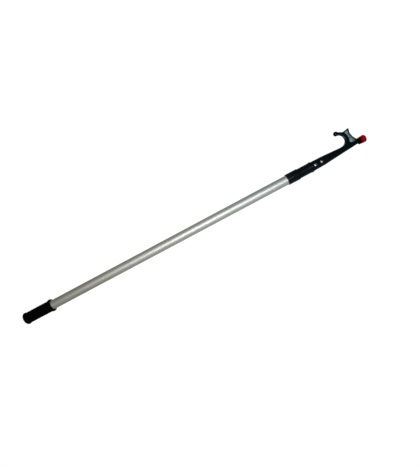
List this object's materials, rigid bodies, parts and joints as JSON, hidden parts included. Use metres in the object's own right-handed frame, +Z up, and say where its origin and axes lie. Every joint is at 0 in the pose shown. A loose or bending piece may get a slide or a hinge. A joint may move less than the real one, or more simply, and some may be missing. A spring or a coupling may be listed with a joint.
{
  "type": "boat hook",
  "caption": "Telescopic boat hook with a twist-lock aluminium pole, hand grip, collar, curled hook with spike and a soft tip bumper, shown closed.",
  "frame": {"origin": "centre of the flat end face of the hand grip at the butt, on the pole's axis", "axes": "+X along the pole from the butt to the tip, +Y from the pole's axis towards the hook's arm and ball end, +Z up with the pole lying flat, on the side of the rivets"},
  "size_m": [1.2232, 0.0828, 0.041],
  "materials": {
    "anodised_tube": "satin",
    "inner_tube_aluminium": "satin",
    "grip_rubber": "matte",
    "moulded_nylon": "satin",
    "black_plastic": "matte",
    "white_acetal": "satin",
    "brass_nut": "satin",
    "zinc_steel": "satin",
    "rivet_alloy": "satin",
    "red_rubber": "satin",
    "foam": "matte"
  },
  "bodies": {
    "outer_pole": {"outer_tube": "anodised_tube", "hand_grip": "grip_rubber", "butt_plug": "black_plastic", "collar": "moulded_nylon", "guide_bush": "white_acetal"},
    "lock_sleeve": {"expander_sleeve": "white_acetal"},
    "lock_cone": {"expander_cone": "white_acetal", "cone_nut": "brass_nut"},
    "inner_pole": {"inner_tube": "inner_tube_aluminium", "stud_plug": "black_plastic", "lock_stud": "zinc_steel", "thrust_washer": "zinc_steel", "plug_pin": "zinc_steel", "stop_washer": "zinc_steel", "stop_nut": "zinc_steel", "tube_float": "foam", "hook_head": "moulded_nylon", "socket_rivet_rear": "rivet_alloy", "socket_rivet_front": "rivet_alloy", "rivet_mandrels": "zinc_steel", "tip_bumper": "red_rubber"}
  },
  "joints": [
    {"name": "telescope", "type": "slide", "parent": "outer_pole", "child": "lock_sleeve", "axis": [1, 0, 0], "range_m": [0, 0.83]},
    {"name": "twist_lock", "type": "hinge", "parent": "lock_sleeve", "child": "inner_pole", "pos_m": [0.098, 0, 0], "axis": [1, 0, 0], "range_deg": [0, 540]},
    {"name": "cone_travel", "type": "slide", "parent": "lock_sleeve", "child": "lock_cone", "axis": [1, 0, 0], "range_m": [-0.0019, 0]}
  ],
  "couplings": [
    {"joint": "cone_travel", "follows": "twist_lock", "m_per_rad": -0.00019894}
  ]
}
